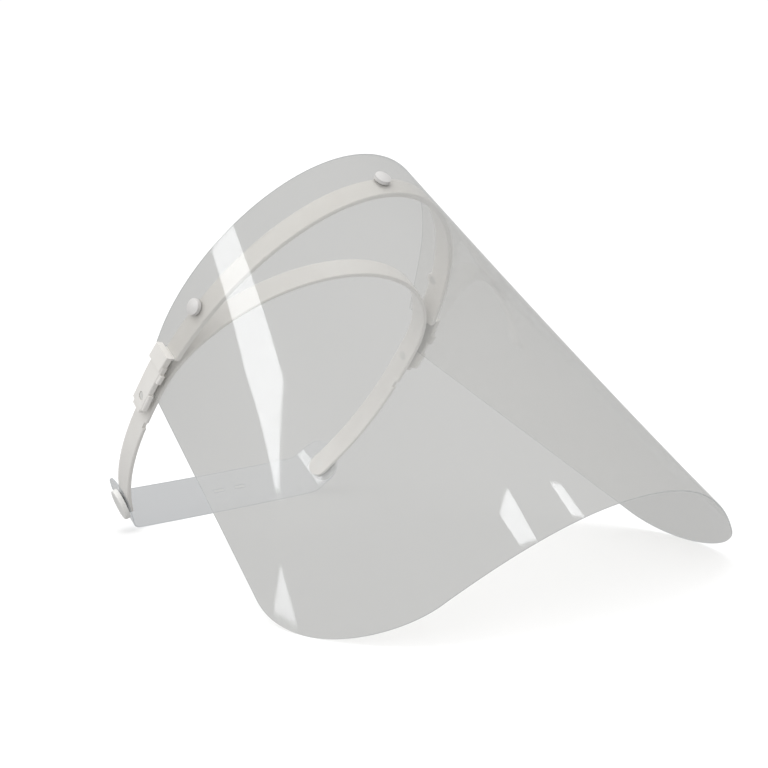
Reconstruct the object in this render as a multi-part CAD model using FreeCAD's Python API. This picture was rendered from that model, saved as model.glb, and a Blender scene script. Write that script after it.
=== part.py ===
import FreeCAD, Part

import math
import os

from FreeCAD import Vector

# Face shield with a flip-up visor, modelled as it is worn: +X to the wearer's left, +Y to the back
# of the head, +Z up. The origin of that frame is on the film at the front of the brow. At the end
# everything is tipped face-up on to the floor, resting on the rear strap and the film's corners.

# Film: a clear sheet wrapped round the brow that opens out towards the chin
film_thickness = 0.8
brow_half_width = 92.0
brow_depth = 135.0
chin_level = 200.0
chin_half_width = 139.0
chin_depth = 113.0
chin_lead = 9.3
chin_curve = 2.1
film_below_brow = 225.0
film_above_brow = 25.0
corner_start = 0.7
corner_height = 67.3
corner_roundness = 1.85
tongue_y = 113.0
tongue_top = 5.0

# Bow: carries the film from inside, passes out through the film at each temple, ends in an ear
band_height = 12.0
bow_thickness = 3.0
fit_gap = 0.1
film_gap = 0.2
slit_y = 110.0
slit_width = 3.2
ear_end_y = 150.5

# Headband strip: forehead arc and arms
strip_thickness = 2.4
forehead_y = 59.0
temple_half_width = 89.5
temple_y = 135.0
arm_end_x = 67.0
arm_end_y = 239.0

# Hinge
hinge_y = 141.0
pin_radius = 2.5
running_gap = 0.05
collar_radius = 4.2

# Film buttons
button_side_y = 80.0
button_z = 3.5
button_head_radius = 4.4
button_head_height = 2.2
button_dome = 0.8
boss_radius = 4.2

# Rear strap and its studs
strap_thickness = 0.8
strap_low = -11.0
strap_high = 16.5
strap_end_radius = 12.0
strap_start_y = 222.0
strap_back_y = 243.8
strap_turn_radius = 7.0
strap_gap = 0.25
slot_length = 7.4
slot_height = 2.2
slot_centres = (1.8, 16.8)
slot_foot = 2.7
stud_radius = 9.0
stud_thickness = 3.0
stud_from_tip = 7.5

edge_bevel = 0.45


# Film surface. u runs from -1 at the right temple to 1 at the left one, and past 1 straight back.

def brow_point(u):
    side = math.copysign(1.0, u)
    a = min(abs(u), 1.0) * math.pi / 2
    past = max(abs(u) - 1.0, 0.0) * brow_depth * math.pi / 2
    return Vector(
        side * brow_half_width * math.sin(a), brow_depth * (1 - math.cos(a)) + past, 0
    )


def chin_point(u):
    w = min(abs(u), 1.0)
    past = max(abs(u) - 1.0, 0.0) * brow_depth * math.pi / 2
    x = math.copysign(chin_half_width * w, u)
    return Vector(x, chin_depth * w**chin_curve - chin_lead + past, -chin_level)


def film_point(u, z):
    brow = brow_point(u)
    return brow + (chin_point(u) - brow) * (-z / chin_level)


def film_normal(u, z):
    along = film_point(u + 0.002, z) - film_point(u - 0.002, z)
    down = chin_point(u) - brow_point(u)
    return along.cross(down).normalize() * -1


def u_at(y):
    if y > brow_depth:
        return 1 + (y - brow_depth) / (brow_depth * math.pi / 2)
    return math.acos(1 - y / brow_depth) / (math.pi / 2)


def film_bottom(u):
    s = max(abs(u) - corner_start, 0.0) / (1 - corner_start)
    s = min(s, 1.0)
    rise = 1 - (1 - s**corner_roundness) ** (1 / corner_roundness)
    return -(film_below_brow - corner_height * rise)


def film_top(u):
    return film_above_brow - 8.0 * u**2 - 12.0 * u**8


def bevelled(corners, bevel):
    """A closed wire round four corners with each corner cut off by the bevel."""
    points = []
    for i in range(4):
        here = corners[i]
        back = (corners[i - 1] - here).normalize()
        on = (corners[(i + 1) % 4] - here).normalize()
        points.append(here + back * bevel)
        points.append(here + on * bevel)
    return Part.makePolygon(points + points[:1])


def skin_section(u, low, high, inner, outer, bevel):
    out = film_normal(u, (low + high) / 2)
    bottom = film_point(u, low)
    top = film_point(u, high)
    corners = [bottom + out * outer, top + out * outer, top + out * inner, bottom + out * inner]
    if bevel:
        return bevelled(corners, bevel)
    return Part.makePolygon(corners + corners[:1])


def skin_band(us, low, high, inner, outer, bevel=edge_bevel):
    wires = [skin_section(u, low, high, inner, outer, bevel) for u in us]
    return Part.makeLoft(wires, True)


def spread(start, end, count):
    return [start + (end - start) * i / (count - 1) for i in range(count)]


def mirrored(shape):
    return shape.mirror(Vector(0, 0, 0), Vector(1, 0, 0))


def button_rod(u, radius, start, end):
    """A cylinder on a button's axis, square to the film, between two distances outside it."""
    out = film_normal(u, button_z)
    return Part.makeCylinder(radius, end - start, film_point(u, button_z) + out * start, out)


# Visor film

def corner_stations():
    stations = []
    for i in range(1, 13):
        swing = math.radians(90.0 * i / 12)
        s = math.sin(swing) ** (2 / corner_roundness)
        stations.append(corner_start + (1 - corner_start) * s)
    return stations


right_half = spread(0, corner_start, 11) + corner_stations()
film_stations = [-u for u in right_half[:0:-1]] + right_half
film_wires = []
for u in film_stations:
    section = skin_section(u, film_bottom(u), film_top(u), -film_thickness, 0, 0)
    film_wires.append(section)
film = Part.makeLoft(film_wires, True)

button_side_u = u_at(button_side_y)
button_places = {"front": 0.0, "right": -button_side_u, "left": button_side_u}
openings = [button_rod(u, pin_radius + fit_gap, -6, 6) for u in button_places.values()]
for x in (-110, 75):
    openings.append(Part.makeBox(35, 40, 40, Vector(x, tongue_y, tongue_top)))
    slit_corner = Vector(x, slit_y - slit_width / 2, -band_height / 2 - 0.6)
    openings.append(Part.makeBox(35, slit_width, band_height + 1.2, slit_corner))
film = film.cut(openings)


# Bow with its ears

half = band_height / 2
bow_outer = -film_thickness - film_gap
bow_inner = bow_outer - bow_thickness
slit_u = u_at(slit_y)
bow = skin_band(spread(-slit_u, slit_u, 41), -half, half, bow_inner, bow_outer)


def ear_plate(y_from, y_to, low, high, inner, outer):
    stations = spread(u_at(y_from), u_at(y_to), 5)
    return skin_band(stations, low, high, inner, outer)


neck_us = [u_at(slit_y - 0.6), u_at(slit_y + 0.6)]
neck = skin_band(neck_us, -5.2, 5.4, bow_inner + 0.4, 3.0, 0.2)
shoulder = ear_plate(slit_y - 0.8, 119.0, -5.6, 8.8, 0.25, 4.1)
plate = ear_plate(116.0, ear_end_y - 3, -6.3, 6.6, 0.3, 3.5)
heel = ear_plate(ear_end_y - 6, ear_end_y, -4.6, 5.0, 0.35, 3.0)
front_lug = ear_plate(120.5, 126.0, -8.2, -4.0, 0.45, 3.1)
rear_lug = ear_plate(135.5, 146.5, -7.8, -4.0, 0.45, 3.2)
ear = neck.multiFuse([shoulder, plate, heel, front_lug, rear_lug])
bore = Part.makeCylinder(
    pin_radius + running_gap, 30, Vector(80, hinge_y, 0), Vector(1, 0, 0)
)
ear = ear.cut(bore)
bow = bow.multiFuse([ear, mirrored(ear)]).removeSplitter()
for u in button_places.values():
    bow = bow.fuse(button_rod(u, boss_radius, bow_inner + 0.1, bow_outer - 0.1))
    bow = bow.cut(button_rod(u, pin_radius + fit_gap, -8, 4))


# Film buttons: a shank through film and bow, and a drum head with a domed top outside

def film_button(u):
    shank = button_rod(u, pin_radius, bow_inner + 0.2, 0.6)
    head = button_rod(u, button_head_radius, film_gap, button_head_height)
    radius = (button_head_radius**2 + button_dome**2) / (2 * button_dome)
    out = film_normal(u, button_z)
    centre = film_point(u, button_z) + out * (button_head_height + button_dome - radius)
    ball = Part.makeSphere(radius, centre)
    dome = ball.common(button_rod(u, button_head_radius, button_head_height - 0.1, 9))
    return shank.multiFuse([head, dome]).removeSplitter()


buttons = {name: film_button(u) for name, u in button_places.items()}


# Headband strip. s runs from 0 at the forehead to 1 at the temple and 2 at the arm's end.

def bezier(points, t):
    a, b, c, d = points
    k = 1 - t
    return a * k**3 + b * (3 * k * k * t) + c * (3 * k * t * t) + d * t**3


arm_curve = [
    Vector(temple_half_width, temple_y, 0),
    Vector(90.1, 160, 0),
    Vector(90.9, 200, 0),
    Vector(arm_end_x, arm_end_y, 0),
]


def strip_point(s):
    w = abs(s)
    if w <= 1:
        a = w * math.pi / 2
        x = temple_half_width * math.sin(a)
        y = forehead_y + (temple_y - forehead_y) * (1 - math.cos(a))
    else:
        place = bezier(arm_curve, w - 1)
        x = place.x
        y = place.y
    return Vector(math.copysign(x, s), y, 0)


def strip_normal(s):
    along = strip_point(s + 0.001) - strip_point(s - 0.001)
    return Vector(along.y, -along.x, 0).normalize()


def strip_section(s, half_height, inner, outer, bevel):
    base = strip_point(s)
    out = strip_normal(s)
    lift = Vector(0, 0, half_height)
    corners = [
        base + out * outer - lift,
        base + out * outer + lift,
        base + out * inner + lift,
        base + out * inner - lift,
    ]
    return bevelled(corners, bevel)


def arm_height(distance):
    """Half height of the strip at a distance from the arm's rounded tip."""
    if distance >= half:
        return half
    return math.sqrt(half**2 - (half - distance) ** 2)


end_speed = (arm_curve[3] - arm_curve[2]).Length * 3
tip_stations = [(2 - d / end_speed, arm_height(d)) for d in (6.0, 4.4, 3.0, 1.7, 0.8, 0.3)]
strip_half = [(s, half) for s in spread(0, 1, 13) + spread(1.1, 1.9, 9)] + tip_stations
strip_stations = [(-s, h) for s, h in strip_half[:0:-1]] + strip_half
strip_wires = [strip_section(s, h, -strip_thickness, 0, edge_bevel) for s, h in strip_stations]
headband = Part.makeLoft(strip_wires, True)

stud_s = 2 - stud_from_tip / end_speed
stud_out = strip_normal(stud_s)
stud_base = strip_point(stud_s)


def stud_rod(radius, start, end):
    return Part.makeCylinder(radius, end - start, stud_base + stud_out * start, stud_out)


stud_bore = stud_rod(pin_radius + running_gap, -6, 6)
headband = headband.cut(bore).cut(mirrored(bore))
headband = headband.cut(stud_bore).cut(mirrored(stud_bore))

# A shallow notch under each arm just behind the ear
notch = Part.makeBox(12, 4.5, 3.4, Vector(82, 157.5, -half - 2))
headband = headband.cut(notch).cut(mirrored(notch))


# Hinge pins: fixed in the headband, their outer ends sunk in the ears

hinge_pin = Part.makeCylinder(
    pin_radius, 7.6, Vector(87.3, hinge_y, 0), Vector(1, 0, 0)
)
hinge_collar = Part.makeCylinder(
    collar_radius, 0.9, Vector(temple_half_width + 0.25, hinge_y, 0), Vector(1, 0, 0)
)
hinge_pin = hinge_pin.fuse(hinge_collar).removeSplitter()
hinge_pin = hinge_pin.makeChamfer(0.4, [e for e in hinge_pin.Edges if e.CenterOfMass.x > 94.5])


# Rear strap: lies on the outside of each arm, turns round the tips and crosses behind the head

def strap_path():
    start_s = 1.0
    while strip_point(start_s).y < strap_start_y:
        start_s += 0.01
    places = []
    for s in spread(start_s, 2.0, 13):
        places.append(strip_point(s) + strip_normal(s) * strap_gap)
    turn = math.atan2(strip_normal(2.0).x, strip_normal(2.0).y)
    past_tip = Vector(-math.cos(turn), math.sin(turn), 0) * 0.8
    places.append(places[-1] + past_tip)
    centre = places[-1] - Vector(math.sin(turn), math.cos(turn), 0) * strap_turn_radius
    for i in range(1, 6):
        a = turn * (1 - i / 5)
        places.append(centre + Vector(math.sin(a), math.cos(a), 0) * strap_turn_radius)
    back = places[-1]
    for share in (0.2, 0.4, 0.6, 0.8):
        sag = (strap_back_y - back.y) * (1 - (1 - share) ** 2)
        places.append(Vector(back.x * (1 - share), back.y + sag, 0))
    middle = Vector(0, strap_back_y, 0)
    return places + [middle] + [Vector(-p.x, p.y, 0) for p in places[::-1]]


strap_line = Part.BSplineCurve()
strap_line.interpolate(strap_path())


def strap_section(parameter):
    base = strap_line.value(parameter)
    along = strap_line.tangent(parameter)[0]
    out = Vector(along.y, -along.x, 0).normalize()
    if out.dot(base - Vector(0, 150, 0)) < 0:
        out = out * -1
    low = Vector(0, 0, strap_low)
    high = Vector(0, 0, strap_high)
    thick = out * strap_thickness
    corners = [base + thick + low, base + thick + high, base + high, base + low]
    return Part.makePolygon(corners + corners[:1])


first = strap_line.FirstParameter
last = strap_line.LastParameter
strap = Part.makeLoft([strap_section(p) for p in spread(first, last, 61)], True)
strap = strap.cut(stud_bore).cut(mirrored(stud_bore))
side_view = Part.makeBox(
    260, 120, strap_high - strap_low + 2, Vector(-130, strap_start_y, strap_low - 1)
)
corner_edges = []
for edge in side_view.Edges:
    middle = edge.CenterOfMass
    if abs(middle.y - strap_start_y) < 0.1 and abs(middle.x) < 0.1:
        corner_edges.append(edge)
surround = Part.makeBox(
    300, 180, strap_high - strap_low + 20, Vector(-150, strap_start_y - 30, strap_low - 10)
)
strap = strap.cut(surround.cut(side_view.makeFillet(strap_end_radius, corner_edges)))
for x in slot_centres:
    slot = Part.makeBox(
        slot_length, 12, slot_height, Vector(x - slot_length / 2, strap_back_y - 6, slot_foot)
    )
    strap = strap.cut(slot)


# Strap studs: a flat round head outside the strap and a shank through strap and arm

stud_face = strap_gap + strap_thickness + fit_gap
stud_head = stud_rod(stud_radius, stud_face, stud_face + stud_thickness)
stud_rim = []
for edge in stud_head.Edges:
    beyond = (edge.CenterOfMass - stud_base).dot(stud_out)
    if beyond > stud_face + 2 and len(edge.Vertexes) == 1:
        stud_rim.append(edge)
stud_head = stud_head.makeFillet(0.9, stud_rim)
stud = stud_head.fuse(stud_rod(pin_radius, 0.1 - strip_thickness, stud_face + 0.5))
stud = stud.removeSplitter()


# Resting pose: tip the shield so that the strap's lower edge and the film's corners share the floor

strap_foot = Vector(0, strap_back_y + strap_thickness, strap_low)
outline = []
for u in spread(0.5, 1.0, 401):
    for out in (0, -film_thickness):
        z = film_bottom(u)
        outline.append(film_point(u, z) + film_normal(u, z) * out)


def floor_slope(place):
    return math.atan2(strap_foot.z - place.z, strap_foot.y - place.y)


tilt = max(floor_slope(place) for place in outline)

nodes = {
    "headband": headband,
    "hinge_pin_right": mirrored(hinge_pin),
    "hinge_pin_left": hinge_pin,
    "rear_strap": strap,
    "strap_stud_right": mirrored(stud),
    "strap_stud_left": stud,
    "visor_bow": bow,
    "visor_film": film,
    "film_button_front": buttons["front"],
    "film_button_right": buttons["right"],
    "film_button_left": buttons["left"],
}

turned = {}
for name, shape in nodes.items():
    shape = shape.copy()
    shape.rotate(Vector(0, 0, 0), Vector(1, 0, 0), -math.degrees(tilt))
    turned[name] = shape

box = None
for shape in turned.values():
    bounds = shape.optimalBoundingBox(True, False)
    if box is None:
        box = bounds
    else:
        box.add(bounds)
shift = Vector(0, -(box.YMin + box.YMax) / 2, -box.ZMin)

os.makedirs("parts", exist_ok=True)
for name, shape in turned.items():
    shape.translate(shift)
    shape.exportStep("parts/" + name + ".step")
    print(name, shape.isValid(), len(shape.Solids), round(shape.Volume, 1))

hinge = Vector(0, hinge_y, 0)
turn = FreeCAD.Rotation(Vector(1, 0, 0), -math.degrees(tilt))
print("tilt", round(math.degrees(tilt), 3), "shift", shift)
print("hinge", turn.multVec(hinge) + shift)
print("box", box)
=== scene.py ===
import math

import bmesh
import bpy
from mathutils import Matrix, Vector


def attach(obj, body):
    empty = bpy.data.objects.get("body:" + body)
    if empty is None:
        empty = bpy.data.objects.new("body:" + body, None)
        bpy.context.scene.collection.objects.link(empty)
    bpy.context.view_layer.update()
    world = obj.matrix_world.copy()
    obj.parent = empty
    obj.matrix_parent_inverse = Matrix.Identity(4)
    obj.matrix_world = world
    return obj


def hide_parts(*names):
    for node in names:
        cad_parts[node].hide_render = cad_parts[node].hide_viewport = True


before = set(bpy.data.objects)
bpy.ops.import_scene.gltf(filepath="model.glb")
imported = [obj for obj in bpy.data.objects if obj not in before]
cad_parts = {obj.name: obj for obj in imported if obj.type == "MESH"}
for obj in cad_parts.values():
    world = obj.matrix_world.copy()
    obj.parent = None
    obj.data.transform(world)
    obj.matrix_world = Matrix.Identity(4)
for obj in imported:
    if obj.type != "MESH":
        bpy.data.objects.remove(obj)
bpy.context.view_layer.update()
print("frame loaded:", len(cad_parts), "nodes")


# helpers for node trees

def linkInto(tree, value, socket):
    if isinstance(value, Field):
        tree.links.new(value.socket, socket)
    else:
        socket.default_value = value


class Field:
    # wraps an output socket, so that sums and products on it add Math nodes
    def __init__(self, tree, socket):
        self.tree = tree
        self.socket = socket

    def math(self, operation, first, second=None):
        made = self.tree.nodes.new("ShaderNodeMath")
        made.operation = operation
        linkInto(self.tree, first, made.inputs[0])
        if second is not None:
            linkInto(self.tree, second, made.inputs[1])
        return Field(self.tree, made.outputs[0])

    def __add__(self, other):
        return self.math("ADD", self, other)

    def __radd__(self, other):
        return self.math("ADD", other, self)

    def __sub__(self, other):
        return self.math("SUBTRACT", self, other)

    def __rsub__(self, other):
        return self.math("SUBTRACT", other, self)

    def __mul__(self, other):
        return self.math("MULTIPLY", self, other)

    def __rmul__(self, other):
        return self.math("MULTIPLY", other, self)

    def __truediv__(self, other):
        return self.math("DIVIDE", self, other)

    def __pow__(self, other):
        return self.math("POWER", self, other)

    def __gt__(self, other):
        return self.math("GREATER_THAN", self, other)

    def __lt__(self, other):
        return self.math("LESS_THAN", self, other)

    def call(self, operation):
        return self.math(operation, self)


class Tree:
    # one method adds any node: settings first, then the values or links of its sockets
    def __init__(self, nodeTree):
        self.tree = nodeTree

    def add(self, kind, out=0, sockets=None, **settings):
        made = self.tree.nodes.new(kind)
        for name, value in settings.items():
            setattr(made, name, value)
        for name, value in (sockets or {}).items():
            linkInto(self.tree, value, made.inputs[name])
        if out is None:
            return made
        return Field(self.tree, made.outputs[out])

    def ramp(self, value, stops):
        made = self.add("ShaderNodeValToRGB", out=None, sockets={0: value})
        elements = made.color_ramp.elements
        for (place, shade), element in zip(stops, elements):
            element.position = place
            element.color = (shade, shade, shade, 1)
        return Field(self.tree, made.outputs[0])

    def blendColour(self, share, first, second):
        made = self.add("ShaderNodeMix", out=None, data_type="RGBA")
        linkInto(self.tree, share, made.inputs[0])
        linkInto(self.tree, first, made.inputs[6])
        linkInto(self.tree, second, made.inputs[7])
        return Field(self.tree, made.outputs[2])

    def mixShader(self, share, first, second):
        made = self.tree.nodes.new("ShaderNodeMixShader")
        linkInto(self.tree, share, made.inputs[0])
        linkInto(self.tree, first, made.inputs[1])
        linkInto(self.tree, second, made.inputs[2])
        return Field(self.tree, made.outputs[0])


def newMaterial(name):
    material = bpy.data.materials.new(name)
    material.use_nodes = True
    material.node_tree.nodes.clear()
    return material, Tree(material.node_tree)


def finishMaterial(shading, surface):
    output = shading.tree.nodes.new("ShaderNodeOutputMaterial")
    linkInto(shading.tree, surface, output.inputs["Surface"])


def setMaterials(piece, *materials):
    piece.data.materials.clear()
    for material in materials:
        piece.data.materials.append(material)


def dressNode(name, material):
    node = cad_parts[name]
    for materialSlot in node.material_slots:
        materialSlot.material = material
    if not node.material_slots:
        node.data.materials.append(material)


# camera

cameraPlace = {
    "place": (-0.6907, -0.8029, 0.2670),
    "right": (0.75938, -0.65017, -0.02395),
    "up": (0.12419, 0.10870, 0.98623),
    "back": (-0.63869, -0.75189, 0.16328),
    "lens": 96.65,
    "sensor": 36,
    "nearest": 0.02,
}
cameraData = bpy.data.cameras.new("camera")
cameraData.lens = cameraPlace["lens"]
cameraData.sensor_width = cameraPlace["sensor"]
cameraData.clip_start = cameraPlace["nearest"]
camera = bpy.data.objects.new("camera", cameraData)
bpy.context.scene.collection.objects.link(camera)
turn = Matrix([cameraPlace["right"], cameraPlace["up"], cameraPlace["back"]]).transposed()
camera.matrix_world = Matrix.Translation(cameraPlace["place"]) @ turn.to_4x4()
bpy.context.scene.camera = camera
print("camera set")


# studio: white where seen directly, grey where seen through or mirrored in the film

studio = {
    "greyFloor": 0.44,
    "floorGlow": 0.585,
    "glowShare": 0.75,
    "whiteFloor": 0.9,
    "greyWall": 0.59,
    "skyLight": 0.72,
    "whiteWall": 1.05,
    "floorReach": 30,
    "overheadStrength": 1.75,
    "overheadAngle": 70,
    "overheadLean": (-12, -8),
    "sideWatts": 10.0,
    "sidePlace": (-1.6, -0.9, 0.9),
    "sideTarget": (0, 0, 0.1),
    "sideSize": 1.0,
    "panelColour": (0.96, 0.98, 1.0, 1),
    "lowerPanelShare": 0.8,
    "panelStrength": 5.2,
}


def seenDirectly(shading):
    path = shading.add("ShaderNodeLightPath", out=None)
    cameraRay = Field(shading.tree, path.outputs["Is Camera Ray"])
    clearDepth = Field(shading.tree, path.outputs["Transparent Depth"])
    return cameraRay * (clearDepth < 0.5)


floorMesh = bpy.data.meshes.new("floor")
reach = studio["floorReach"]
floorCorners = [(-reach, -reach, 0), (reach, -reach, 0), (reach, reach, 0), (-reach, reach, 0)]
floorMesh.from_pydata(floorCorners, [], [(0, 1, 2, 3)])
floor = bpy.data.objects.new("floor", floorMesh)
bpy.context.scene.collection.objects.link(floor)
floorMaterial, shading = newMaterial("studioFloor")
floorColour = shading.blendColour(
    seenDirectly(shading),
    (studio["greyFloor"], studio["greyFloor"], studio["greyFloor"] * 0.99, 1),
    (studio["whiteFloor"], studio["whiteFloor"], studio["whiteFloor"], 1),
)
floorShader = shading.add("ShaderNodeBsdfDiffuse", sockets={"Color": floorColour})
floorGlow = shading.add("ShaderNodeEmission", sockets={"Strength": studio["floorGlow"]})
glowShare = (1 - seenDirectly(shading)) * studio["glowShare"]
finishMaterial(shading, shading.mixShader(glowShare, floorShader, floorGlow))
setMaterials(floor, floorMaterial)

world = bpy.data.worlds.new("studio")
world.use_nodes = True
bpy.context.scene.world = world
sky = Tree(world.node_tree)
path = sky.add("ShaderNodeLightPath", out=None)
direct = seenDirectly(sky)
softLight = Field(sky.tree, path.outputs["Is Diffuse Ray"])
skyStrength = direct * (studio["whiteWall"] - studio["greyWall"]) + studio["greyWall"]
skyStrength = skyStrength + softLight * (studio["skyLight"] - studio["greyWall"])
background = world.node_tree.nodes["Background"]
background.inputs["Color"].default_value = (1, 1, 1, 1)
linkInto(sky.tree, skyStrength, background.inputs["Strength"])


def softbox(name, place, target, size, watts):
    data = bpy.data.lights.new(name, "AREA")
    data.shape = "SQUARE"
    data.size = size
    data.energy = watts
    lamp = bpy.data.objects.new(name, data)
    bpy.context.scene.collection.objects.link(lamp)
    lamp.location = place
    lamp.rotation_euler = (Vector(target) - Vector(place)).to_track_quat("-Z", "Y").to_euler()
    lamp.visible_camera = False
    lamp.visible_glossy = False


ceilingData = bpy.data.lights.new("ceilingLight", "SUN")
ceilingData.energy = studio["overheadStrength"]
ceilingData.angle = math.radians(studio["overheadAngle"])
ceiling = bpy.data.objects.new("ceilingLight", ceilingData)
bpy.context.scene.collection.objects.link(ceiling)
leanX, leanY = studio["overheadLean"]
ceiling.rotation_euler = (math.radians(leanX), math.radians(leanY), 0)
ceiling.visible_glossy = False
softbox(
    "sideBox", studio["sidePlace"], studio["sideTarget"], studio["sideSize"], studio["sideWatts"]
)


def lightPanel(name, corners, strength):
    # a flat glowing panel that shows only as a reflection
    mesh = bpy.data.meshes.new(name)
    mesh.from_pydata(corners, [], [tuple(range(len(corners)))])
    panel = bpy.data.objects.new(name, mesh)
    bpy.context.scene.collection.objects.link(panel)
    material, shading = newMaterial(name)
    glow = shading.add(
        "ShaderNodeEmission", sockets={"Color": studio["panelColour"], "Strength": strength}
    )
    finishMaterial(shading, glow)
    setMaterials(panel, material)
    panel.visible_camera = False
    panel.visible_diffuse = False
    panel.visible_shadow = False
    panel.visible_transmission = False


lightPanel("windowPanel", [
    (-0.4019, 0.3014, 0.3663), (-0.4387, 0.3112, 0.3022), (-0.4654, 0.2907, 0.2854),
    (-0.4673, 0.2807, 0.2934), (-0.4550, 0.2296, 0.3664), (-0.4521, 0.2229, 0.3780),
    (-0.3848, 0.2302, 0.4680),
], studio["panelStrength"])
lightPanel("lowerWindowPanel", [
    (-0.4357, 0.2547, 0.2443), (-0.4371, 0.2673, 0.2254), (-0.4548, 0.2242, 0.2590),
], studio["panelStrength"] * studio["lowerPanelShare"])
lightPanel("ceilingPanelRight", [
    (-0.1579, -0.1902, 0.5432), (-0.2251, -0.1734, 0.5263), (-0.2194, -0.1970, 0.5257),
    (-0.1674, -0.2220, 0.5376),
], studio["panelStrength"])
lightPanel("ceilingPanelLeft", [
    (0.0007, -0.2331, 0.5548), (0.0391, -0.2393, 0.5491), (0.0450, -0.2650, 0.5437),
    (-0.0002, -0.2577, 0.5505),
], studio["panelStrength"])
bpy.context.scene.view_settings.view_transform = "Standard"
print("studio set")


# moulded plastic: a warm mottle, a fine grain and a soft gloss

mouldedPlastic = {
    "mottleScale": 26.0,
    "flowScale": 90.0,
    "grainScale": 1400.0,
    "mottleShare": 0.7,
    "mottleStart": 0.35,
    "mottleEnd": 0.68,
    "bumpGrain": 0.6,
    "bumpStrength": 0.35,
    "grainDepth": 0.00003,
    "mottleGloss": 0.16,
    "grainGloss": 0.08,
    "refraction": 1.49,
}
# each finish: its lighter and warmer colour, its roughness and where its mottle starts
finishes = {
    "bandPlastic": ((0.765, 0.75, 0.725, 1), (0.715, 0.695, 0.665, 1), 0.42, 0.0),
    "buttonPlastic": ((0.62, 0.61, 0.6, 1), (0.58, 0.57, 0.56, 1), 0.36, 0.3),
    "pinPlastic": ((0.66, 0.655, 0.635, 1), (0.6, 0.595, 0.575, 1), 0.38, 0.6),
    "studPlastic": ((0.77, 0.765, 0.745, 1), (0.72, 0.712, 0.69, 1), 0.36, 0.9),
}


def makeMoulded(name):
    light, warm, roughness, seedShift = finishes[name]
    plastic = mouldedPlastic
    material, shading = newMaterial(name)
    coords = shading.add("ShaderNodeTexCoord", out="Object")
    moved = shading.add(
        "ShaderNodeMapping", sockets={"Vector": coords, "Location": (seedShift, 0, 0)}
    )
    mottle = shading.add(
        "ShaderNodeTexNoise",
        sockets={"Vector": moved, "Scale": plastic["mottleScale"], "Detail": 4.0},
    )
    flow = shading.add(
        "ShaderNodeTexNoise",
        sockets={"Vector": moved, "Scale": plastic["flowScale"], "Detail": 3.0},
    )
    grain = shading.add(
        "ShaderNodeTexNoise",
        sockets={"Vector": moved, "Scale": plastic["grainScale"], "Detail": 2.0},
    )
    mixed = mottle * plastic["mottleShare"] + flow * (1 - plastic["mottleShare"])
    stops = [(plastic["mottleStart"], 0.0), (plastic["mottleEnd"], 1.0)]
    colour = shading.blendColour(shading.ramp(mixed, stops), light, warm)
    bump = shading.add(
        "ShaderNodeBump",
        sockets={
            "Height": grain * plastic["bumpGrain"] + flow * (1 - plastic["bumpGrain"]),
            "Strength": plastic["bumpStrength"],
            "Distance": plastic["grainDepth"],
        },
    )
    uneven = (mottle - 0.5) * plastic["mottleGloss"] + (grain - 0.5) * plastic["grainGloss"]
    shader = shading.add(
        "ShaderNodeBsdfPrincipled",
        sockets={
            "Base Color": colour,
            "Roughness": uneven + roughness,
            "Normal": bump,
            "IOR": plastic["refraction"],
        },
    )
    finishMaterial(shading, shader)
    return material


bandPlastic, buttonPlastic, pinPlastic, studPlastic = (makeMoulded(name) for name in finishes)

# clear sheet: see-through, with a little haze, wiped streaks, specks of dust and a mirror gloss

clearSheet = {
    "cloudScale": 14.0,
    "wipeScale": (30.0, 160.0, 420.0),
    "speckScale": 190.0,
    "speckSize": 0.045,
    "dustStart": 0.55,
    "dustShare": 0.16,
    "fogStops": [(0.42, 0.0), (0.72, 1.0)],
    "wipeStops": [(0.5, 0.0), (0.8, 1.0)],
    "wipeShare": 0.5,
    "veilRoughness": 0.35,
    "glossColour": (0.97, 0.97, 0.97, 1),
    "glossRoughness": 0.028,
    "wipeGloss": 0.02,
    "fogGloss": 0.015,
    "facingPower": 5.0,
}
# each sheet: the light let through, its haze, smudges and veil, and its gloss face on and along
sheets = {
    "filmClear": {
        "tint": (0.985, 0.983, 0.977, 1), "haze": 0.13, "smudge": 0.012,
        "veil": (0.6, 0.603, 0.597, 1), "faceOn": 0.042, "grazing": 0.6,
    },
    "filmEdge": {
        "tint": (0.86, 0.88, 0.88, 1), "haze": 0.17, "smudge": 0.02,
        "veil": (0.68, 0.70, 0.70, 1), "faceOn": 0.03, "grazing": 0.3,
    },
    "strapClear": {
        "tint": (0.975, 0.98, 0.985, 1), "haze": 0.06, "smudge": 0.02,
        "veil": (0.74, 0.76, 0.79, 1), "faceOn": 0.04, "grazing": 0.35,
    },
    "strapEdge": {
        "tint": (0.9, 0.92, 0.93, 1), "haze": 0.16, "smudge": 0.02,
        "veil": (0.68, 0.70, 0.73, 1), "faceOn": 0.03, "grazing": 0.3,
    },
}


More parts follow.
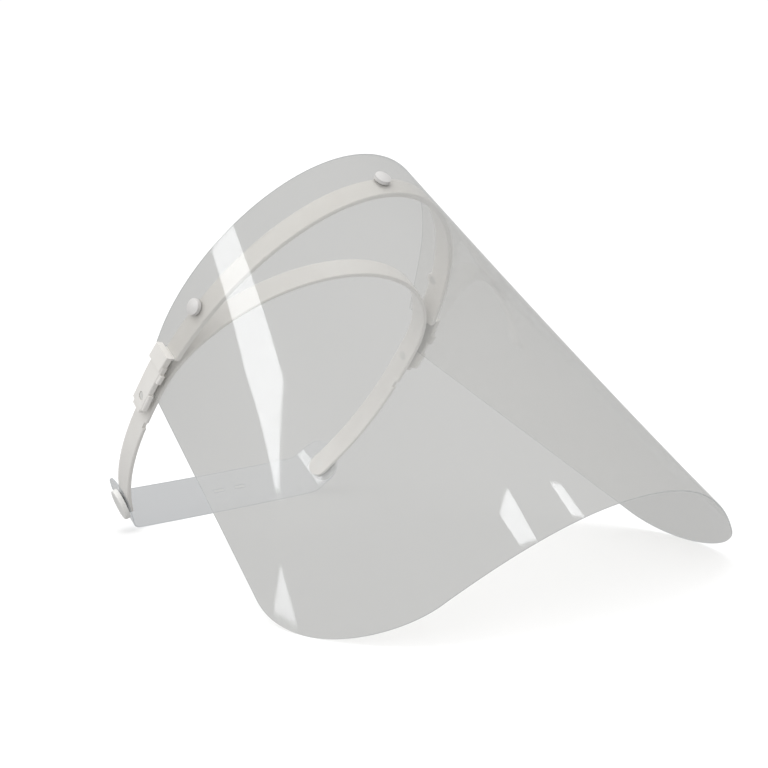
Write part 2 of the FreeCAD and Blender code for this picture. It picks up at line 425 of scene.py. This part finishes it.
def makeClear(name):
    sheet = sheets[name]
    clear = clearSheet
    material, shading = newMaterial(name)
    coords = shading.add("ShaderNodeTexCoord", out="Object")
    cloud = shading.add(
        "ShaderNodeTexNoise",
        sockets={"Vector": coords, "Scale": clear["cloudScale"], "Detail": 5.0},
    )
    streaks = shading.add(
        "ShaderNodeMapping", sockets={"Vector": coords, "Scale": clear["wipeScale"]}
    )
    wipe = shading.add(
        "ShaderNodeTexNoise", sockets={"Vector": streaks, "Scale": 1.0, "Detail": 4.0}
    )
    specks = shading.add(
        "ShaderNodeTexVoronoi",
        sockets={"Vector": coords, "Scale": clear["speckScale"], "Randomness": 1.0},
    )
    dust = (specks < clear["speckSize"]) * (cloud > clear["dustStart"])
    fog = shading.ramp(cloud, clear["fogStops"])
    wiped = shading.ramp(wipe, clear["wipeStops"])
    through = shading.add("ShaderNodeBsdfTransparent", sockets={"Color": sheet["tint"]})
    body = shading.add(
        "ShaderNodeBsdfPrincipled",
        sockets={"Base Color": sheet["veil"], "Roughness": clear["veilRoughness"]},
    )
    smudged = fog * sheet["smudge"] + wiped * sheet["smudge"] * clear["wipeShare"]
    veiled = smudged + dust * clear["dustShare"] + sheet["haze"]
    seen = shading.mixShader(veiled, through, body)
    uneven = wiped * clear["wipeGloss"] + fog * clear["fogGloss"]
    gloss = shading.add(
        "ShaderNodeBsdfPrincipled",
        sockets={
            "Base Color": clear["glossColour"],
            "Metallic": 1.0,
            "Roughness": uneven + clear["glossRoughness"],
        },
    )
    facing = shading.add("ShaderNodeLayerWeight", out="Facing", sockets={"Blend": 0.5})
    mirror = facing ** clear["facingPower"] * sheet["grazing"] + sheet["faceOn"]
    finishMaterial(shading, shading.mixShader(mirror, seen, gloss))
    return material


filmClear, filmEdge, strapClear, strapEdge = (makeClear(name) for name in sheets)
print("materials made")


# as worn, in mm: +X to the wearer's left, +Y back, +Z up, from the film at the brow

restTilt = math.radians(-50.233)
restShift = Vector((0, 5.2471, 195.0488)) / 1000


# visor film: a flat pattern of u and height, wrapped by its rule

film = {
    "browHalfWidth": 92.0,
    "browDepth": 135.0,
    "chinLevel": 200.0,
    "chinHalfWidth": 139.0,
    "chinDepth": 113.0,
    "chinLead": 9.3,
    "chinCurve": 2.1,
    "belowBrow": 225.0,
    "aboveBrow": 25.0,
    "cornerStart": 0.7,
    "cornerHeight": 67.3,
    "cornerRoundness": 1.85,
    "tongueY": 113.0,
    "tongueTop": 5.0,
    "thickness": 0.0008,
    "slitY": (108.4, 111.6),
    "slitHalfHeight": 5.6,
    "topFall": 8.0,
    "topCornerFall": 12.0,
    "columns": 110,
    "cornerColumns": 80,
    "cutClearance": 0.002,
    "stepWidth": 0.0012,
    "rows": (6, 4, 84),
    "rowCrowding": 1.15,
}


def uAt(y):
    return math.acos(1 - y / film["browDepth"]) / (math.pi / 2)


def filmBottom(u):
    s = min(max(abs(u) - film["cornerStart"], 0.0) / (1 - film["cornerStart"]), 1.0)
    rise = 1 - (1 - s ** film["cornerRoundness"]) ** (1 / film["cornerRoundness"])
    return film["cornerHeight"] * rise - film["belowBrow"]


def filmTop(u):
    return film["aboveBrow"] - film["topFall"] * u**2 - film["topCornerFall"] * u**8


def columnPlaces():
    # half of the columns, closer together round the lower corner, with one on each cut line
    slitFrom, slitTo = (uAt(y) for y in film["slitY"])
    stepAt = uAt(film["tongueY"])
    count, cornerCount = film["columns"], film["cornerColumns"]
    places = [i / count * film["cornerStart"] for i in range(count + 1)]
    for i in range(1, cornerCount + 1):
        s = math.sin(math.pi / 2 * i / cornerCount) ** (2 / film["cornerRoundness"])
        places.append(film["cornerStart"] + (1 - film["cornerStart"]) * s)
    cuts = [slitFrom, slitTo, stepAt, stepAt + film["stepWidth"]]
    places = [p for p in places if all(abs(p - cut) > film["cutClearance"] for cut in cuts)]
    return sorted(places + cuts), (slitFrom, slitTo, stepAt)


def filmPattern():
    half, (slitFrom, slitTo, stepAt) = columnPlaces()
    columns = [-u for u in half[:0:-1]] + half
    slit = film["slitHalfHeight"]
    upper, middle, lower = film["rows"]
    behindStep = stepAt + film["stepWidth"] / 2
    verts = []
    for u in columns:
        behind = abs(u) > behindStep
        level = film["tongueTop"] if behind else slit
        top = level if behind else filmTop(u)
        bottom = filmBottom(u)
        heights = [top + (level - top) * j / upper for j in range(upper)]
        heights += [level + (-slit - level) * j / middle for j in range(middle)]
        for j in range(lower + 1):
            share = 1 - (1 - j / lower) ** film["rowCrowding"]
            heights.append(-slit + (bottom + slit) * share)
        verts += [(u, z, 0) for z in heights]
    rows = upper + middle + lower + 1
    faces = []
    for i in range(len(columns) - 1):
        centre = abs(columns[i] + columns[i + 1]) / 2
        for j in range(rows - 1):
            if j < upper and centre > behindStep:
                continue
            if upper <= j < upper + middle and slitFrom < centre < slitTo:
                continue
            a = i * rows + j
            faces.append((a, a + 1, a + rows + 1, a + rows))
    mesh = bpy.data.meshes.new("filmPattern")
    mesh.from_pydata(verts, [], faces)
    return mesh


def groupSocket(tree, name, kind, value=None, output=False):
    side = "OUTPUT" if output else "INPUT"
    made = tree.interface.new_socket(name=name, in_out=side, socket_type=kind)
    if value is not None:
        made.default_value = value


def setInput(modifier, name, value):
    for item in modifier.node_group.interface.items_tree:
        if item.item_type == "SOCKET" and item.in_out == "INPUT" and item.name == name:
            modifier[item.identifier] = value
            return
    raise KeyError(name)


def endTree(nodes, geometry, places, material):
    # moves the points, stands the piece at rest in metres, smooths and dresses it
    bent = nodes.add(
        "GeometryNodeSetPosition", sockets={"Geometry": geometry, "Position": places}
    )
    stood = nodes.add(
        "GeometryNodeTransform",
        sockets={
            "Geometry": bent,
            "Rotation": (restTilt, 0, 0),
            "Scale": (0.001, 0.001, 0.001),
            "Translation": restShift,
        },
    )
    smooth = nodes.add("GeometryNodeSetShadeSmooth", sockets={"Geometry": stood})
    real = nodes.add("GeometryNodeRealizeInstances", sockets={"Geometry": smooth})
    dressed = nodes.add(
        "GeometryNodeSetMaterial", sockets={"Geometry": real, "Material": material}
    )
    leave = nodes.tree.nodes.new("NodeGroupOutput")
    linkInto(nodes.tree, dressed, leave.inputs[0])


def wrapTree():
    # bends a flat pattern (x: u, y: height in mm) on to the film's ruled surface
    tree = bpy.data.node_groups.new("wrapFilm", "GeometryNodeTree")
    groupSocket(tree, "Geometry", "NodeSocketGeometry")
    groupSocket(tree, "Geometry", "NodeSocketGeometry", output=True)
    for name, key in (
        ("Brow Half Width", "browHalfWidth"),
        ("Brow Depth", "browDepth"),
        ("Chin Level", "chinLevel"),
        ("Chin Half Width", "chinHalfWidth"),
        ("Chin Depth", "chinDepth"),
        ("Chin Lead", "chinLead"),
        ("Chin Curve", "chinCurve"),
    ):
        groupSocket(tree, name, "NodeSocketFloat", film[key])
    groupSocket(tree, "Material", "NodeSocketMaterial")
    nodes = Tree(tree)
    entry = tree.nodes.new("NodeGroupInput")
    size = {s.name: Field(tree, s) for s in entry.outputs if s.name}
    start = nodes.add("GeometryNodeInputPosition")
    place = nodes.add("ShaderNodeSeparateXYZ", out=None, sockets={0: start})
    u = Field(tree, place.outputs[0])
    z = Field(tree, place.outputs[1])
    width = u.call("ABSOLUTE")
    angle = width * (math.pi / 2)
    side = u.call("SIGN")
    browX = side * size["Brow Half Width"] * angle.call("SINE")
    browY = size["Brow Depth"] * (1 - angle.call("COSINE"))
    chinX = u * size["Chin Half Width"]
    chinY = size["Chin Depth"] * width ** size["Chin Curve"] - size["Chin Lead"]
    share = z / size["Chin Level"] * -1
    wrapped = nodes.add(
        "ShaderNodeCombineXYZ",
        sockets={0: browX + (chinX - browX) * share, 1: browY + (chinY - browY) * share, 2: z},
    )
    endTree(nodes, size["Geometry"], wrapped, size["Material"])
    return tree


def bakeModifiers(piece, name):
    # turns what the modifiers make into a plain mesh at the origin
    bpy.context.view_layer.update()
    graph = bpy.context.evaluated_depsgraph_get()
    mesh = bpy.data.meshes.new_from_object(piece.evaluated_get(graph))
    mesh.name = name
    piece.modifiers.clear()
    piece.data = mesh


def creaseCorners(mesh, angle=math.radians(35)):
    # smooth everywhere but across the corners of the wall
    shaped = bmesh.new()
    shaped.from_mesh(mesh)
    for face in shaped.faces:
        face.smooth = True
    for edge in shaped.edges:
        edge.smooth = not (edge.is_manifold and edge.calc_face_angle() > angle)
    shaped.to_mesh(mesh)
    shaped.free()


visorFilm = bpy.data.objects.new("visorFilm", filmPattern())
bpy.context.scene.collection.objects.link(visorFilm)
wrap = visorFilm.modifiers.new("wrap", "NODES")
wrap.node_group = wrapTree()
setInput(wrap, "Material", filmClear)
bakeModifiers(visorFilm, "visorFilm")
setMaterials(visorFilm, filmClear, filmEdge)
wall = visorFilm.modifiers.new("wall", "SOLIDIFY")
wall.thickness = film["thickness"]
wall.offset = -1.0
wall.use_even_offset = True
wall.material_offset_rim = 1
bakeModifiers(visorFilm, "visorFilm")
creaseCorners(visorFilm.data)
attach(visorFilm, "visor")
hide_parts("visor_film")
print("visor film made:", len(visorFilm.data.polygons), "faces")


# rear strap: a flat pattern laid along its path round the arm ends

strap = {
    "gap": 0.25,
    "thickness": 0.0008,
    "low": -11.0,
    "high": 16.5,
    "startY": 222.0,
    "backY": 243.8,
    "pastTip": 0.8,
    "turnRadius": 7.0,
    "endRadius": 12.8,
    "slotLength": 7.4,
    "slotHeight": 2.2,
    "slotFoot": 2.7,
    "slotCentres": (1.8, 16.8),
    "armSteps": 24,
    "turnSteps": 12,
    "backSteps": 16,
    "endColumns": 16,
    "middleColumns": 240,
    "cutClearance": 0.4,
}
armCurve = [
    Vector((89.5, 135, 0)), Vector((90.1, 160, 0)), Vector((90.9, 200, 0)), Vector((67, 239, 0)),
]


def armPoint(share):
    k = 1 - share
    a, b, c, d = armCurve
    return a * k**3 + b * (3 * k * k * share) + c * (3 * k * share * share) + d * share**3


def armNormal(share):
    along = armPoint(share + 0.001) - armPoint(share - 0.001)
    return Vector((along.y, -along.x, 0)).normalized()


def strapHalfPath():
    share = 0.0
    while armPoint(share).y < strap["startY"]:
        share += 0.001
    places = []
    for i in range(strap["armSteps"] + 1):
        s = share + (1 - share) * i / strap["armSteps"]
        places.append(armPoint(s) + armNormal(s) * strap["gap"])
    out = armNormal(1.0)
    turn = math.atan2(out.x, out.y)
    places.append(places[-1] + Vector((-out.y, out.x, 0)) * strap["pastTip"])
    centre = places[-1] - out * strap["turnRadius"]
    for i in range(1, strap["turnSteps"] + 1):
        a = turn * (1 - i / strap["turnSteps"])
        places.append(centre + Vector((math.sin(a), math.cos(a), 0)) * strap["turnRadius"])
    back = places[-1]
    for i in range(1, strap["backSteps"]):
        s = i / strap["backSteps"]
        sag = (strap["backY"] - back.y) * (1 - (1 - s) ** 2)
        places.append(Vector((back.x * (1 - s), back.y + sag, 0)))
    return places


def strapPath():
    half = strapHalfPath()
    places = half + [Vector((0, strap["backY"], 0))] + [Vector((-p.x, p.y, 0)) for p in half[::-1]]
    curve = bpy.data.curves.new("strapPath", "CURVE")
    curve.dimensions = "3D"
    line = curve.splines.new("POLY")
    line.points.add(len(places) - 1)
    for point, place in zip(line.points, places):
        point.co = (*place, 1)
    length = sum((b - a).length for a, b in zip(places, places[1:]))
    made = bpy.data.objects.new("strapPath", curve)
    bpy.context.scene.collection.objects.link(made)
    return made, length


def strapPattern(length):
    # x: distance along the path, y: height; rounded end corners, slots left open
    radius = strap["endRadius"]
    ends = strap["endColumns"]
    columns = [radius * (1 - math.cos(math.pi / 2 * i / ends)) for i in range(ends + 1)]
    columns += [length - x for x in columns]
    count = strap["middleColumns"]
    columns += [radius + (length - 2 * radius) * i / count for i in range(1, count)]
    slots = []  # where each slot begins and ends along the path
    for centre in strap["slotCentres"]:
        middle = length / 2 - centre
        slots.append((middle - strap["slotLength"] / 2, middle + strap["slotLength"] / 2))
    cuts = [x for pair in slots for x in pair]
    kept = [x for x in columns if all(abs(x - c) > strap["cutClearance"] for c in cuts)]
    columns = sorted(kept + cuts)
    span = strap["high"] - strap["low"]
    foot = (strap["slotFoot"] - strap["low"]) / span
    slotRow = 4
    rows = [0, 0.12, 0.24, 0.36, foot, foot + strap["slotHeight"] / span, 0.7, 0.85, 1]
    verts = []
    for x in columns:
        fromEnd = min(x, length - x)
        inset = 0.0
        if fromEnd < radius:
            inset = radius - math.sqrt(max(radius**2 - (radius - fromEnd) ** 2, 0.0))
        verts += [(x, strap["low"] + inset + row * (span - 2 * inset), 0) for row in rows]
    faces = []
    for i in range(len(columns) - 1):
        middle = (columns[i] + columns[i + 1]) / 2
        for j in range(len(rows) - 1):
            if j == slotRow and any(a < middle < b for a, b in slots):
                continue
            a = i * len(rows) + j
            b = a + len(rows)
            faces.append((a, b, b + 1, a + 1))
    mesh = bpy.data.meshes.new("strapPattern")
    mesh.from_pydata(verts, [], faces)
    return mesh


def alongTree():
    # lays a flat pattern (x: distance, y: height) along a path
    tree = bpy.data.node_groups.new("layAlongPath", "GeometryNodeTree")
    groupSocket(tree, "Geometry", "NodeSocketGeometry")
    groupSocket(tree, "Geometry", "NodeSocketGeometry", output=True)
    groupSocket(tree, "Path", "NodeSocketObject")
    groupSocket(tree, "Material", "NodeSocketMaterial")
    nodes = Tree(tree)
    entry = tree.nodes.new("NodeGroupInput")
    given = {s.name: Field(tree, s) for s in entry.outputs if s.name}
    start = nodes.add("GeometryNodeInputPosition")
    place = nodes.add("ShaderNodeSeparateXYZ", out=None, sockets={0: start})
    distance = Field(tree, place.outputs[0])
    height = Field(tree, place.outputs[1])
    path = nodes.add("GeometryNodeObjectInfo", out="Geometry", sockets={"Object": given["Path"]})
    sample = nodes.add(
        "GeometryNodeSampleCurve",
        out=None,
        mode="LENGTH",
        sockets={"Curves": path, "Length": distance},
    )
    lifted = nodes.add("ShaderNodeCombineXYZ", sockets={2: height})
    laid = nodes.add(
        "ShaderNodeVectorMath",
        operation="ADD",
        sockets={0: Field(tree, sample.outputs["Position"]), 1: lifted},
    )
    endTree(nodes, given["Geometry"], laid, given["Material"])
    return tree


path, pathLength = strapPath()
rearStrap = bpy.data.objects.new("rearStrap", strapPattern(pathLength))
bpy.context.scene.collection.objects.link(rearStrap)
lay = rearStrap.modifiers.new("lay", "NODES")
lay.node_group = alongTree()
setInput(lay, "Path", path)
setInput(lay, "Material", strapClear)
bakeModifiers(rearStrap, "rearStrap")
bpy.data.objects.remove(path)
setMaterials(rearStrap, strapClear, strapEdge)
wall = rearStrap.modifiers.new("wall", "SOLIDIFY")
wall.thickness = strap["thickness"]
wall.offset = 1.0
wall.material_offset_rim = 1
bakeModifiers(rearStrap, "rearStrap")
creaseCorners(rearStrap.data)
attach(rearStrap, "headband")
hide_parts("rear_strap")
print("rear strap made:", len(rearStrap.data.polygons), "faces")


# the moulded pieces keep their CAD shape

for name in ("headband", "visor_bow"):
    dressNode(name, bandPlastic)
for name in ("film_button_front", "film_button_right", "film_button_left"):
    dressNode(name, buttonPlastic)
for name in ("strap_stud_right", "strap_stud_left"):
    dressNode(name, studPlastic)
for name in ("hinge_pin_right", "hinge_pin_left"):
    dressNode(name, pinPlastic)

print("all pieces made")
